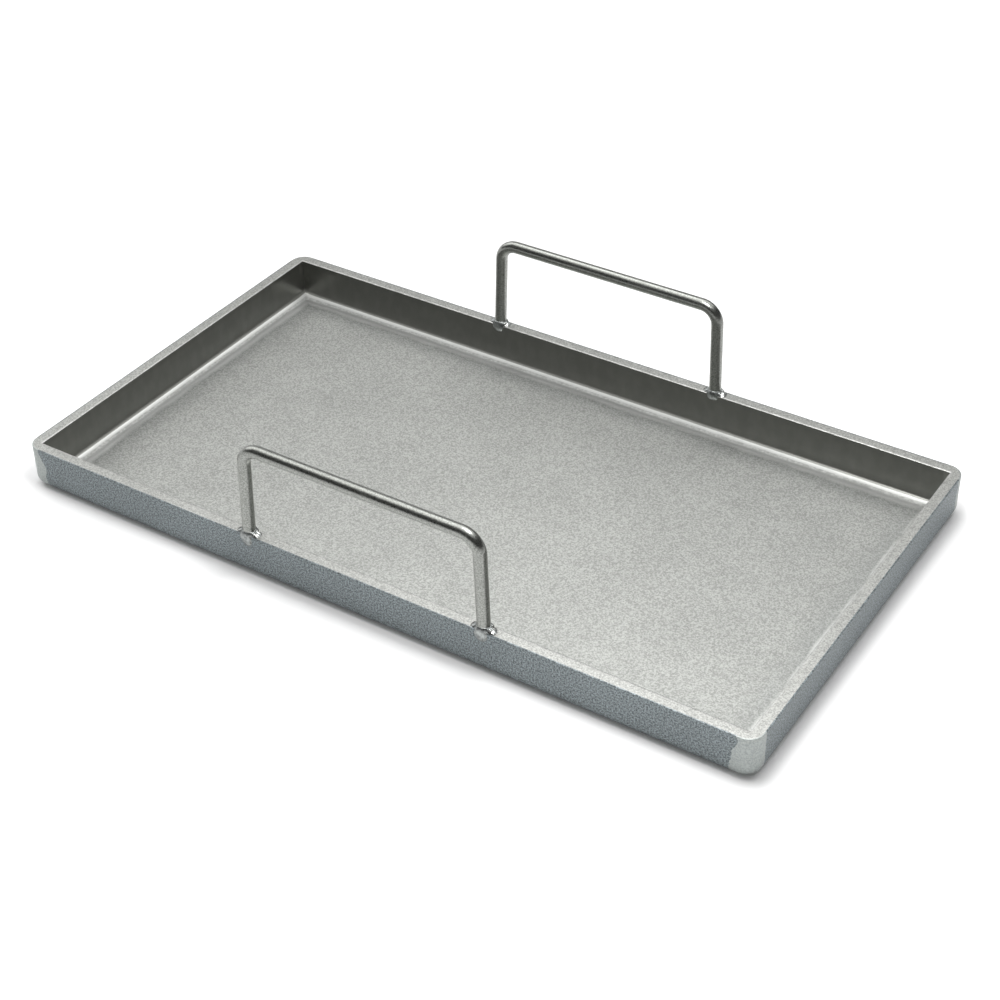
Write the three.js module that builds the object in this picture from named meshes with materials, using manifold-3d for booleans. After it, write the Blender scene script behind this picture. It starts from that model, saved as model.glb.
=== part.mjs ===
// Flat top griddle: a steel cooking plate inside four bar walls, with a bent rod handle
// standing on each long wall. Units are millimetres, +Z is up. The origin is the centre
// of the underside, X runs along the long side and the front wall faces -Y.

import * as THREE from 'three';
import { mergeVertices } from 'three/addons/utils/BufferGeometryUtils.js';
import Module from 'manifold-3d';

// ---- driving dimensions ----
const LENGTH = 610;             // outside, along X
const DEPTH = 340;              // outside, along Y
const RIM_HEIGHT = 34.5;        // top of the walls above the underside
const WALL = 9;                 // wall bar thickness
const PLATE = 3.2;              // cooking plate thickness
const CORNER_RADIUS = 12;       // upright outside corners, in plan
const HEEL_RADIUS = 8;          // outside bottom edge of the walls
const RIM_EASE = 0.8;           // rounding of both rim edges
const CORNER_LEG = 15;          // reach of each corner weld along its two walls
const SEAM_RISE = 3.0;          // how far the fillet weld at a wall's foot climbs the wall
const SEAM_SPREAD = 8.5;        // and how far it spreads over the plate

const ROD = 9.5;                // handle rod diameter
const HANDLE_SPAN = 197;        // between leg centres, on the rim
const HANDLE_RISE = 74.2;       // from the rim to the centre of the grip bar
const FRONT_OFFSET = 3.7;       // the front handle stands this far to +X of the middle
const BACK_OFFSET = 2.5;        // and the back handle this far
const LEG_SPLAY = THREE.MathUtils.degToRad(1.75);
const BEND_RADIUS = 14;         // centre line of the handle's two bends

const BEAD_REACH = 10;          // half length of a handle weld along the rim
const BEAD_BULGE = 5;           // half width of its swelling, across the wall
const BEAD_HEIGHT = 6.5;        // half height of its swelling
const BEAD_SHIFT = 2.8;         // its centre, outwards from the rod's centre
const BEAD_DROP = 1.5;          // its centre, down from the rim
const WELD_GAP = 0.3;           // clearance between a weld bead and the rod inside it

// ---- worked out from them ----
const HALF_X = LENGTH / 2;
const HALF_Y = DEPTH / 2;
const INNER_X = HALF_X - WALL;
const INNER_Y = HALF_Y - WALL;
const MARGIN = 5;               // how far a cutting block stands out of what it cuts

// ---- fineness of the round shapes ----
const RIGHT_ANGLE = Math.PI / 2;
const HEEL_STEPS = 5;
const EASE_STEPS = 2;
const CORNER_STEPS = 7;
const SEAM_STEPS = 4;
const ROD_SIDES = 14;
const ROD_STEPS = 84;
const BEAD_ROUND = 24;
const BEAD_LEVELS = 14;

// ---- finishes ----
const FINISHES = {
  plate: { color: 0xb4b6b1, roughness: 0.62, metalness: 0.85 },
  wall: { color: 0x8d9494, roughness: 0.55, metalness: 0.85 },
  cornerWeld: { color: 0xa9b1b0, roughness: 0.5, metalness: 0.85 },
  seamWeld: { color: 0xc8cac6, roughness: 0.35, metalness: 0.9 },
  rod: { color: 0x9a9d9c, roughness: 0.32, metalness: 0.95 },
  handleWeld: { color: 0x6f716e, roughness: 0.4, metalness: 0.9 },
};

// ---- booleans ----
const wasm = await Module();
wasm.setup();

function toSolid(geometry) {
  const bare = geometry.clone();
  bare.deleteAttribute('normal');
  bare.deleteAttribute('uv');
  const merged = mergeVertices(bare, 1e-4);
  return new wasm.Manifold(new wasm.Mesh({
    numProp: 3,
    vertProperties: Float32Array.from(merged.attributes.position.array),
    triVerts: Uint32Array.from(merged.index.array),
  }));
}

function toGeometry(solid) {
  const mesh = solid.getMesh();
  const geometry = new THREE.BufferGeometry();
  geometry.setAttribute('position', new THREE.BufferAttribute(mesh.vertProperties, 3));
  geometry.setIndex(new THREE.BufferAttribute(mesh.triVerts, 1));
  geometry.computeVertexNormals();
  return geometry;
}

function blockBetween(low, high) {
  const size = high.map((value, axis) => value - low[axis]);
  const middle = high.map((value, axis) => (value + low[axis]) / 2);
  return toSolid(new THREE.BoxGeometry(...size).translate(...middle));
}

// ---- general shapes ----

// A closed solid through a stack of level outlines with equal point counts, lowest first.
function stackOutlines(levels) {
  const count = levels[0].points.length;
  const positions = [];
  const indices = [];
  for (const { z, points } of levels) {
    for (const point of points) positions.push(point.x, point.y, z);
  }
  for (let level = 0; level < levels.length - 1; level++) {
    for (let i = 0; i < count; i++) {
      const a = level * count + i;
      const b = level * count + (i + 1) % count;
      indices.push(a, b, b + count, a, b + count, a + count);
    }
  }
  const top = (levels.length - 1) * count;
  for (let i = 1; i < count - 1; i++) {
    indices.push(0, i + 1, i);
    indices.push(top, top + i, top + i + 1);
  }
  const geometry = new THREE.BufferGeometry();
  geometry.setAttribute('position', new THREE.Float32BufferAttribute(positions, 3));
  geometry.setIndex(indices);
  return geometry;
}

// Counter-clockwise rectangle outline with rounded corners.
function roundedRectangle(halfX, halfY, radius) {
  const points = [];
  for (let quarter = 0; quarter < 4; quarter++) {
    const signX = quarter === 0 || quarter === 3 ? 1 : -1;
    const signY = quarter < 2 ? 1 : -1;
    for (let step = 0; step <= CORNER_STEPS; step++) {
      const angle = (quarter + step / CORNER_STEPS) * RIGHT_ANGLE;
      points.push(new THREE.Vector2(
        signX * (halfX - radius) + radius * Math.cos(angle),
        signY * (halfY - radius) + radius * Math.sin(angle),
      ));
    }
  }
  return points;
}

function rectangle(halfX, halfY) {
  return [
    new THREE.Vector2(halfX, halfY),
    new THREE.Vector2(-halfX, halfY),
    new THREE.Vector2(-halfX, -halfY),
    new THREE.Vector2(halfX, -halfY),
  ];
}

// ---- tray walls ----

// Height and inset of the walls' outside, from the underside up to the eased rim.
function outsideProfile() {
  const profile = [];
  for (let step = 0; step <= HEEL_STEPS; step++) {
    const angle = (step / HEEL_STEPS) * RIGHT_ANGLE;
    profile.push({
      inset: HEEL_RADIUS * (1 - Math.sin(angle)),
      z: HEEL_RADIUS * (1 - Math.cos(angle)),
    });
  }
  for (let step = 0; step <= EASE_STEPS; step++) {
    const angle = (step / EASE_STEPS) * RIGHT_ANGLE;
    profile.push({
      inset: RIM_EASE * (1 - Math.cos(angle)),
      z: RIM_HEIGHT - RIM_EASE * (1 - Math.sin(angle)),
    });
  }
  return profile;
}

// The pocket inside the walls, flaring by the rim's easing at its top.
function pocketLevels() {
  const levels = [{ z: -MARGIN, points: rectangle(INNER_X, INNER_Y) }];
  for (let step = 0; step <= EASE_STEPS; step++) {
    const angle = (step / EASE_STEPS) * RIGHT_ANGLE;
    const flare = RIM_EASE * (1 - Math.cos(angle));
    levels.push({
      z: RIM_HEIGHT - RIM_EASE * (1 - Math.sin(angle)),
      points: rectangle(INNER_X + flare, INNER_Y + flare),
    });
  }
  levels.push({
    z: RIM_HEIGHT + MARGIN,
    points: rectangle(INNER_X + RIM_EASE, INNER_Y + RIM_EASE),
  });
  return levels;
}

// The closed ring of wall that the four bars and four corner welds are parted from.
function wallRing() {
  const levels = outsideProfile().map(({ inset, z }) => ({
    z,
    points: roundedRectangle(HALF_X - inset, HALF_Y - inset, CORNER_RADIUS - inset),
  }));
  const outside = toSolid(stackOutlines(levels));
  const pocket = toSolid(stackOutlines(pocketLevels()));
  return outside.subtract(pocket);
}

const ring = wallRing();
const BELOW = -MARGIN;
const ABOVE = RIM_HEIGHT + MARGIN;

function longWall(side) {
  const near = side * (INNER_Y - MARGIN);
  const far = side * (HALF_Y + MARGIN);
  const reach = HALF_X - CORNER_LEG;
  const low = [-reach, Math.min(near, far), BELOW];
  const high = [reach, Math.max(near, far), ABOVE];
  return toGeometry(ring.intersect(blockBetween(low, high)));
}

function endWall(side) {
  const near = side * (INNER_X - MARGIN);
  const far = side * (HALF_X + MARGIN);
  const reach = HALF_Y - CORNER_LEG;
  const low = [Math.min(near, far), -reach, BELOW];
  const high = [Math.max(near, far), reach, ABOVE];
  return toGeometry(ring.intersect(blockBetween(low, high)));
}

function cornerWeld(sideX, sideY) {
  const xs = [sideX * (HALF_X - CORNER_LEG), sideX * (HALF_X + MARGIN)].sort((a, b) => a - b);
  const ys = [sideY * (HALF_Y - CORNER_LEG), sideY * (HALF_Y + MARGIN)].sort((a, b) => a - b);
  return toGeometry(ring.intersect(blockBetween([xs[0], ys[0], BELOW], [xs[1], ys[1], ABOVE])));
}

// ---- plate and its seam welds ----

function cookingPlate() {
  return new THREE.BoxGeometry(2 * INNER_X, 2 * INNER_Y, PLATE).translate(0, 0, PLATE / 2);
}

// A hollow fillet along the foot of a wall. It lies along X with the wall behind it at
// y = 0 and the plate under it at z = 0, and its ends are mitred at 45 degrees.
function seamWeld(halfLength) {
  const section = [new THREE.Vector2(0, 0), new THREE.Vector2(-SEAM_SPREAD, 0)];
  for (let step = 1; step <= SEAM_STEPS; step++) {
    const angle = (step / SEAM_STEPS) * RIGHT_ANGLE;
    section.push(new THREE.Vector2(
      -SEAM_SPREAD * (1 - Math.sin(angle)),
      SEAM_RISE * (1 - Math.cos(angle)),
    ));
  }
  const count = section.length;
  const positions = [];
  for (const end of [-1, 1]) {
    for (const point of section) positions.push(end * (halfLength + point.x), point.x, point.y);
  }
  const indices = [];
  for (let i = 0; i < count; i++) {
    const next = (i + 1) % count;
    indices.push(i, i + count, next + count, i, next + count, next);
  }
  for (let i = 1; i < count - 1; i++) {
    indices.push(0, i, i + 1);
    indices.push(count, count + i + 1, count + i);
  }
  const geometry = new THREE.BufferGeometry();
  geometry.setAttribute('position', new THREE.Float32BufferAttribute(positions, 3));
  geometry.setIndex(indices);
  geometry.computeVertexNormals();
  return geometry;
}

// ---- handles ----

// A circular bend between two straight stretches of rod.
class BendCurve extends THREE.Curve {
  constructor(centre, from, to) {
    super();
    this.centre = centre;
    this.from = from.clone().sub(centre);
    this.to = to.clone().sub(centre);
    this.sweep = this.from.angleTo(this.to);
  }

  getPoint(t, target = new THREE.Vector3()) {
    const scale = 1 / Math.sin(this.sweep);
    target.copy(this.centre);
    target.addScaledVector(this.from, Math.sin((1 - t) * this.sweep) * scale);
    return target.addScaledVector(this.to, Math.sin(t * this.sweep) * scale);
  }
}

// The bend that joins two straight lines meeting at a corner point.
function bendAt(corner, before, after) {
  const back = before.clone().sub(corner).normalize();
  const ahead = after.clone().sub(corner).normalize();
  const halfAngle = back.angleTo(ahead) / 2;
  const setback = BEND_RADIUS / Math.tan(halfAngle);
  const bisector = back.clone().add(ahead).normalize();
  const centre = corner.clone().addScaledVector(bisector, BEND_RADIUS / Math.sin(halfAngle));
  const from = corner.clone().addScaledVector(back, setback);
  const to = corner.clone().addScaledVector(ahead, setback);
  return new BendCurve(centre, from, to);
}

// Centre line of a handle in the XZ plane, with its feet a little below z = 0.
function handlePath() {
  const lean = Math.tan(LEG_SPLAY);
  const footX = HANDLE_SPAN / 2 + MARGIN * lean;
  const barX = HANDLE_SPAN / 2 - HANDLE_RISE * lean;
  const leftFoot = new THREE.Vector3(-footX, 0, -MARGIN);
  const leftCorner = new THREE.Vector3(-barX, 0, HANDLE_RISE);
  const rightCorner = new THREE.Vector3(barX, 0, HANDLE_RISE);
  const rightFoot = new THREE.Vector3(footX, 0, -MARGIN);
  const leftBend = bendAt(leftCorner, leftFoot, rightCorner);
  const rightBend = bendAt(rightCorner, leftCorner, rightFoot);
  const path = new THREE.CurvePath();
  path.add(new THREE.LineCurve3(leftFoot, leftBend.getPoint(0)));
  path.add(leftBend);
  path.add(new THREE.LineCurve3(leftBend.getPoint(1), rightBend.getPoint(0)));
  path.add(rightBend);
  path.add(new THREE.LineCurve3(rightBend.getPoint(1), rightFoot));
  return path;
}

// The bent rod, cut off square where its feet meet the rim at z = 0.
function handleRod() {
  const round = new THREE.Shape();
  for (let side = 0; side < ROD_SIDES; side++) {
    const angle = (side / ROD_SIDES) * 2 * Math.PI;
    const x = (ROD / 2) * Math.cos(angle);
    const y = (ROD / 2) * Math.sin(angle);
    if (side === 0) round.moveTo(x, y);
    else round.lineTo(x, y);
  }
  const rod = new THREE.ExtrudeGeometry(round, { steps: ROD_STEPS, extrudePath: handlePath() });
  const reach = HANDLE_SPAN;
  const rim = blockBetween([-reach, -ROD, -3 * MARGIN], [reach, ROD, 0]);
  return toGeometry(toSolid(rod).subtract(rim));
}

// Half of the weld round a handle foot: a swelling over one edge of the rim, cut by the
// wall under it, by the rod inside it and by the other half. The foot's centre is at the
// origin, the rim at z = 0, and the swelling lies to -Y.
function handleWeld() {
  const swelling = new THREE.SphereGeometry(1, BEAD_ROUND, BEAD_LEVELS);
  swelling.rotateX(RIGHT_ANGLE);
  swelling.scale(BEAD_REACH, BEAD_BULGE, BEAD_HEIGHT);
  swelling.translate(0, -BEAD_SHIFT, -BEAD_DROP);
  const reach = BEAD_REACH + MARGIN;
  const wall = blockBetween([-reach, -WALL / 2, -reach], [reach, reach, 0]);
  const otherHalf = blockBetween([-reach, -WELD_GAP / 2, -reach], [reach, reach, reach]);
  const holeRadius = ROD / 2 + WELD_GAP;
  const hole = new THREE.CylinderGeometry(holeRadius, holeRadius, 2 * reach, 2 * ROD_SIDES);
  hole.rotateX(RIGHT_ANGLE);
  return toGeometry(toSolid(swelling).subtract(wall).subtract(otherHalf).subtract(toSolid(hole)));
}

// ---- assembly ----

const griddle = new THREE.Group();

function addPiece(parent, name, geometry, finish) {
  const mesh = new THREE.Mesh(geometry, new THREE.MeshStandardMaterial(FINISHES[finish]));
  mesh.name = name;
  parent.add(mesh);
  return mesh;
}

function addTray() {
  addPiece(griddle, 'griddle_plate', cookingPlate(), 'plate');
  addPiece(griddle, 'wall_front', longWall(-1), 'wall');
  addPiece(griddle, 'wall_back', longWall(1), 'wall');
  addPiece(griddle, 'wall_left', endWall(-1), 'wall');
  addPiece(griddle, 'wall_right', endWall(1), 'wall');
  addPiece(griddle, 'corner_weld_front_left', cornerWeld(-1, -1), 'cornerWeld');
  addPiece(griddle, 'corner_weld_front_right', cornerWeld(1, -1), 'cornerWeld');
  addPiece(griddle, 'corner_weld_back_left', cornerWeld(-1, 1), 'cornerWeld');
  addPiece(griddle, 'corner_weld_back_right', cornerWeld(1, 1), 'cornerWeld');
}

function addSeams() {
  const seams = [
    { name: 'seam_weld_back', half: INNER_X, at: [0, INNER_Y], turn: 0 },
    { name: 'seam_weld_left', half: INNER_Y, at: [-INNER_X, 0], turn: 1 },
    { name: 'seam_weld_front', half: INNER_X, at: [0, -INNER_Y], turn: 2 },
    { name: 'seam_weld_right', half: INNER_Y, at: [INNER_X, 0], turn: 3 },
  ];
  for (const { name, half, at, turn } of seams) {
    const seam = addPiece(griddle, name, seamWeld(half), 'seamWeld');
    seam.position.set(at[0], at[1], PLATE);
    seam.rotation.z = turn * RIGHT_ANGLE;
  }
}

// One handle with its four half welds. side is -1 for the front wall, +1 for the back.
function addHandle(label, side, offset) {
  const onRim = new THREE.Group();
  onRim.position.set(offset, side * (HALF_Y - WALL / 2), RIM_HEIGHT);
  griddle.add(onRim);
  addPiece(onRim, `handle_${label}`, handleRod(), 'rod');
  for (const [end, endSign] of [['left', -1], ['right', 1]]) {
    for (const [face, turned] of [['outer', side > 0], ['inner', side < 0]]) {
      const weld = addPiece(onRim, `handle_weld_${label}_${end}_${face}`, handleWeld(), 'handleWeld');
      weld.position.x = endSign * HANDLE_SPAN / 2;
      weld.rotation.z = turned ? Math.PI : 0;
    }
  }
}

addTray();
addSeams();
addHandle('front', -1, FRONT_OFFSET);
addHandle('back', 1, BACK_OFFSET);

export default griddle;
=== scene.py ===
"""Looks of a flat top griddle: blasted plate and walls, ground corners, bent rod handles and their welds.

Lengths are metres, Z is up, and the front wall faces -Y.
"""

import math  # noqa: E402

import bmesh  # noqa: E402
import bpy  # noqa: E402
import numpy as np  # noqa: E402
from bpy.props import FloatProperty, FloatVectorProperty, PointerProperty  # noqa: E402
from mathutils import Matrix, Vector, noise  # noqa: E402


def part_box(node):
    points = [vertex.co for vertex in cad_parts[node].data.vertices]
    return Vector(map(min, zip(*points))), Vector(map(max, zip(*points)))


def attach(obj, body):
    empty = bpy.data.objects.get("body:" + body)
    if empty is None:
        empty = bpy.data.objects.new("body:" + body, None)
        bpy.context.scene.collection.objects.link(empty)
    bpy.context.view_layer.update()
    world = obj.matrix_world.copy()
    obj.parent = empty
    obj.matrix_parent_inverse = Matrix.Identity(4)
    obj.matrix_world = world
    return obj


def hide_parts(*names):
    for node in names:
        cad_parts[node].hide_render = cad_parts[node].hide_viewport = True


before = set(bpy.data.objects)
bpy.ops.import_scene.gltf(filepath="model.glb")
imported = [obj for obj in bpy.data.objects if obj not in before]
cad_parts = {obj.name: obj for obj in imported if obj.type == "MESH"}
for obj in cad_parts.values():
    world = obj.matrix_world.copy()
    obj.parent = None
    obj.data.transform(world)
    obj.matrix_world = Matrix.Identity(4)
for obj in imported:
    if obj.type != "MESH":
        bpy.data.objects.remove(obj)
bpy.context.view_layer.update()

bl_info = {
    "name": "Flat Top Griddle",
    "version": (1, 0, 0),
    "blender": (4, 5, 0),
    "location": "View3D > Sidebar > Griddle",
    "description": "Makes a welded steel flat top griddle with two rod handles",
    "category": "Object",
}

MM = 0.001
QUARTER = math.pi / 2
SIDES = {"left": -1, "right": 1, "front": -1, "back": 1}

# ---- sizes read from the frame ----
_, PLATE_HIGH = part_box("griddle_plate")
_, FRONT_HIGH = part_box("wall_front")
HANDLE_BOXES = {"front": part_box("handle_front"), "back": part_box("handle_back")}
ROD_LOW, ROD_HIGH = HANDLE_BOXES["front"]
_, CORNER_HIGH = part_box("corner_weld_back_right")
BEAD_LOW, BEAD_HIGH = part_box("handle_weld_front_right_outer")

INNER_X = PLATE_HIGH.x
INNER_Y = PLATE_HIGH.y
PLATE_TOP = PLATE_HIGH.z
OUTER_X = CORNER_HIGH.x
OUTER_Y = CORNER_HIGH.y
RIM = FRONT_HIGH.z
WALL = OUTER_Y - INNER_Y
ROD_RADIUS = (ROD_HIGH.y - ROD_LOW.y) / 2
HANDLE_Y = -(ROD_HIGH.y + ROD_LOW.y) / 2
HANDLE_X = {side: (low.x + high.x) / 2 for side, (low, high) in HANDLE_BOXES.items()}
FOOT_X = (BEAD_HIGH.x + BEAD_LOW.x) / 2 - HANDLE_X["front"]
ROD_CLEARANCE = 0.01 * MM
BAR_Z = ROD_HIGH.z - ROD_RADIUS - ROD_CLEARANCE
BEAD_OUT = -BEAD_LOW.y - HANDLE_Y

# ---- fixed shape of the bar stock and the handles ----
CORNER_RADIUS = 12 * MM
HALF_ARC = CORNER_RADIUS * QUARTER / 2
BEND_RADIUS = 14 * MM
LEG_SPLAY = math.radians(1.75)
FOOT_SUNK = 0.5 * MM
GRIND_DEPTH = 0.05 * MM
PLATE_WAVE = 0.12 * MM
PLATE_EASE = 0.3 * MM
SEAM_SUNK = 0.14 * MM

# ---- fineness of the meshes ----
WALL_STEP = 4 * MM
CORNER_STEPS = 36
PLATE_COLUMNS = 121
PLATE_ROWS = 69
SEAM_STEP = 2 * MM
SEAM_ROUND = 10
ROD_STEP = 4 * MM
ROD_SIDES = 32
BEND_STEPS = 18

# ---- camera ----
LENS = 70.49
SENSOR = 36.0
VIEW_TURN = math.radians(33.03)
VIEW_HEIGHT = math.radians(36.58)
VIEW_ROLL = math.radians(-0.742)
VIEW_DISTANCE = 1.4704
VIEW_SLIDE = (0.00717, -0.00388)


# ---- what a user may change ----
class GriddleSizes(bpy.types.PropertyGroup):
    heel_radius: FloatProperty(
        name="Heel radius",
        description="Rounding of the walls' outside bottom edge",
        default=8 * MM,
        unit="LENGTH",
    )
    rim_ease: FloatProperty(
        name="Rim ease",
        description="Rounding of the rim's inside edge",
        default=0.6 * MM,
        unit="LENGTH",
    )
    rim_break: FloatProperty(
        name="Rim break",
        description="Smaller rounding of the rim's outside edge",
        default=0.35 * MM,
        unit="LENGTH",
    )
    seam_rise: FloatProperty(
        name="Seam rise",
        description="How far the fillet weld climbs a wall from the plate",
        default=3.0 * MM,
        unit="LENGTH",
    )
    seam_spread: FloatProperty(
        name="Seam spread",
        description="How far the fillet weld runs out over the plate",
        default=8.5 * MM,
        unit="LENGTH",
    )
    wander: FloatProperty(
        name="Weld edge wander",
        description="How far the edge of a ground corner weld strays from straight",
        default=2.6 * MM,
        unit="LENGTH",
    )


class GriddleFinishes(bpy.types.PropertyGroup):
    plate: FloatVectorProperty(
        name="Plate",
        description="Blasted cooking plate",
        default=(0.355, 0.362, 0.345),
        subtype="COLOR",
    )
    bar: FloatVectorProperty(
        name="Bar",
        description="Blasted outside faces of the walls",
        default=(0.188, 0.213, 0.221),
        subtype="COLOR",
    )
    rim: FloatVectorProperty(
        name="Rim",
        description="Dressed top of the walls",
        default=(0.42, 0.425, 0.405),
        subtype="COLOR",
    )
    scale: FloatVectorProperty(
        name="Mill scale",
        description="Smooth dark inside faces of the walls",
        default=(0.185, 0.187, 0.172),
        subtype="COLOR",
    )
    ground: FloatVectorProperty(
        name="Ground weld",
        description="Corner welds ground flush",
        default=(0.36, 0.385, 0.375),
        subtype="COLOR",
    )
    rod: FloatVectorProperty(
        name="Rod",
        description="Drawn round rod of the handles",
        default=(0.268, 0.275, 0.258),
        subtype="COLOR",
    )
    bead: FloatVectorProperty(
        name="Bead",
        description="Weld metal round the handle feet",
        default=(0.30, 0.315, 0.31),
        subtype="COLOR",
    )
    floor: FloatVectorProperty(
        name="Floor",
        description="Pale studio floor",
        default=(0.86, 0.86, 0.86),
        subtype="COLOR",
    )


class GriddleSettings(bpy.types.PropertyGroup):
    sizes: PointerProperty(type=GriddleSizes, name="Sizes", description="Sizes of the welded parts")
    finishes: PointerProperty(type=GriddleFinishes, name="Finishes", description="Colours of each finish")


def sizes():
    return bpy.context.scene.griddle.sizes


def finishes():
    return bpy.context.scene.griddle.finishes


# ---- mesh making ----
def smoothstep(value, low, high):
    share = min(1.0, max(0.0, (value - low) / (high - low)))
    return share * share * (3 - 2 * share)


def flowing(x, y, z, scale):
    """Smooth noise from -1 to 1 with bumps about one scale wide."""
    return noise.noise(Vector((x, y, z)) / scale)


def piece_from(name, mesh, material, stands_for):
    """Puts a mesh into the scene in place of its CAD nodes."""
    piece = bpy.data.objects.new(name, mesh)
    bpy.context.scene.collection.objects.link(piece)
    mesh.materials.append(material)
    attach(piece, "root")
    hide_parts(*stands_for)
    return piece


def add_masks(mesh, masks):
    """Adds a number for each point under each label, which the finishes read."""
    for label, values in masks.items():
        layer = mesh.attributes.new(label, "FLOAT", "POINT")
        layer.data.foreach_set("value", np.asarray(values, np.float32))


def strip_mesh(name, rows, masks, sharp):
    """A closed bar through rows of points: each row is one closed section, with flat caps at both ends."""
    count = len(rows[0])
    points = [tuple(point) for row in rows for point in row]
    faces = []
    for i in range(len(rows) - 1):
        for j in range(count):
            k = (j + 1) % count
            faces.append((i * count + j, i * count + k, (i + 1) * count + k, (i + 1) * count + j))
    last = (len(rows) - 1) * count
    faces.append(tuple(reversed(range(count))))
    faces.append(tuple(last + j for j in range(count)))
    mesh = bpy.data.meshes.new(name)
    mesh.from_pydata(points, [], faces)
    add_masks(mesh, masks)
    tidy_normals(mesh, sharp)
    return mesh


def sunk_cap(row, level, axis):
    """The end row of a wall piece, drawn in from its skin and set on one flat level along an axis."""
    middle = sum(row, Vector()) / len(row)
    cap = []
    for point in row:
        inner = point + (middle - point) * 0.25
        inner[axis] = level
        cap.append(inner)
    return cap


def tidy_normals(mesh, sharp):
    """Turns all faces outwards and shades them smooth up to an angle in degrees."""
    work = bmesh.new()
    work.from_mesh(mesh)
    bmesh.ops.recalc_face_normals(work, faces=work.faces)
    if work.calc_volume(signed=True) < 0:
        bmesh.ops.reverse_faces(work, faces=work.faces)
    for edge in work.edges:
        edge.smooth = edge.calc_face_angle(math.pi) < math.radians(sharp)
    for face in work.faces:
        face.smooth = True
    work.to_mesh(mesh)
    work.free()


# ---- tray walls and their corner welds ----
def nearest_inside(point, flare=0.0):
    """The pocket's point nearest to one on the walls' outside, both in plan."""
    x = max(-INNER_X - flare, min(INNER_X + flare, point.x))
    y = max(-INNER_Y - flare, min(INNER_Y + flare, point.y))
    return Vector((x, y))


def quarter_turn(steps):
    return [QUARTER * step / steps for step in range(steps + 1)]


def section_plan():
    """Points round a wall's section as (part, share), part by part from the pocket's foot.

    The parts are the inside face, the two eased edges, the rim, the outside face, the heel
    and the underside.
    """
    plan = [("inside", i / 7) for i in range(8)]
    plan += [("inner edge", i / 4) for i in range(1, 5)]
    plan += [("rim", i / 6) for i in range(1, 6)]
    plan += [("outer edge", i / 4) for i in range(5)]
    plan += [("outside", i / 20) for i in range(1, 20)]
    plan += [("heel", i / 9) for i in range(10)]
    plan += [("underside", i / 4) for i in range(1, 4)]
    return plan


def section_point(part, share, outside, outward):
    """One point of the walls' section, from the plan point outside and its outward direction."""
    ease = sizes().rim_ease
    sharp = sizes().rim_break
    heel = sizes().heel_radius
    turn = share * QUARTER
    if part == "inside":
        flat, z = nearest_inside(outside), share * (RIM - ease)
    elif part == "inner edge":
        flat = nearest_inside(outside, ease * (1 - math.cos(turn)))
        z = RIM - ease * (1 - math.sin(turn))
    elif part == "rim":
        flat = nearest_inside(outside, ease).lerp(outside - outward * sharp, share)
        z = RIM
    elif part == "outer edge":
        flat = outside - outward * sharp * (1 - math.sin(turn))
        z = RIM - sharp * (1 - math.cos(turn))
    elif part == "outside":
        flat, z = outside, (RIM - sharp) + share * (heel - RIM + sharp)
    elif part == "heel":
        flat = outside - outward * heel * (1 - math.cos(turn))
        z = heel * (1 - math.sin(turn))
    else:
        flat, z = (outside - outward * heel).lerp(nearest_inside(outside), share), 0.0
    return Vector((flat.x, flat.y, z))


def uneven(point, outward):
    """Presses a wall point inwards by a few hundredths, as hand grinding leaves it."""
    depth = GRIND_DEPTH * (1 + flowing(*point, 22 * MM))
    return point - Vector((outward.x, outward.y, 0)) * depth


def drop_of(part, share):
    """How far down the outside a section point lies, from 0 at the rim to 1 at the heel."""
    if part == "outside":
        return share
    return 1.0 if part in ("heel", "underside") else 0.0


def corner_reach(side_x, side_y, along_x, index):
    """How far a corner weld reaches from the corner along one wall, at one point of the section."""
    seed = 10 * (side_x + 2 * side_y) + (5 if along_x else 0)
    drop = drop_of(*section_plan()[index])
    stray = flowing(seed, drop * 4.0, 0.5, 1.3) + 0.55 * flowing(seed, drop * 19.0, 9.5, 2.1)
    if along_x:
        # A weld starts narrow at the rim of a long wall and widens down its face.
        middle = (13.4 + 3.8 * smoothstep(drop, 0.12, 0.5)) * MM
        reach = sizes().wander
    else:
        middle = 14.2 * MM
        reach = sizes().wander * 0.4
    return max(CORNER_RADIUS + 0.3 * MM, middle + reach * stray)


def part_masks(plan, rows):
    """Which finish each point of the rows has: rim, inside face, and inside edge, which takes a painted
    highlight.
    """
    rim = [1.0 if part in ("rim", "inner edge") else 0.0 for part, _ in plan]
    inside = [1.0 if part == "inside" else 0.0 for part, _ in plan]
    edge = [1.0 if part == "inner edge" else 0.0 for part, _ in plan]
    return {"rim": rim * rows, "inside": inside * rows, "edge": edge * rows}


def straight_wall(name, side):
    """A wall bar, whose two ends follow the edges of the corner welds."""
    long = side in ("front", "back")
    sign = SIDES[side]
    plan = section_plan()
    outward = Vector((0, sign)) if long else Vector((sign, 0))
    half = OUTER_X if long else OUTER_Y
    ends = []
    for other in (-1, 1):
        corner = (other, sign) if long else (sign, other)
        ends.append([other * (half - corner_reach(*corner, long, i)) for i in range(len(plan))])
    steps = round(2 * half / WALL_STEP)
    rows = []
    for step in range(steps + 1):
        row = []
        for i, (part, share) in enumerate(plan):
            along = ends[0][i] + (ends[1][i] - ends[0][i]) * step / steps
            outside = Vector((along, sign * OUTER_Y)) if long else Vector((sign * OUTER_X, along))
            row.append(uneven(section_point(part, share, outside, outward), outward))
        rows.append(row)
    axis = 0 if long else 1
    levels = (max(ends[0]) + MM, min(ends[1]) - MM)
    rows = [sunk_cap(rows[0], levels[0], axis), *rows, sunk_cap(rows[-1], levels[1], axis)]
    return strip_mesh(name, rows, part_masks(plan, len(rows)), sharp=50)


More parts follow.
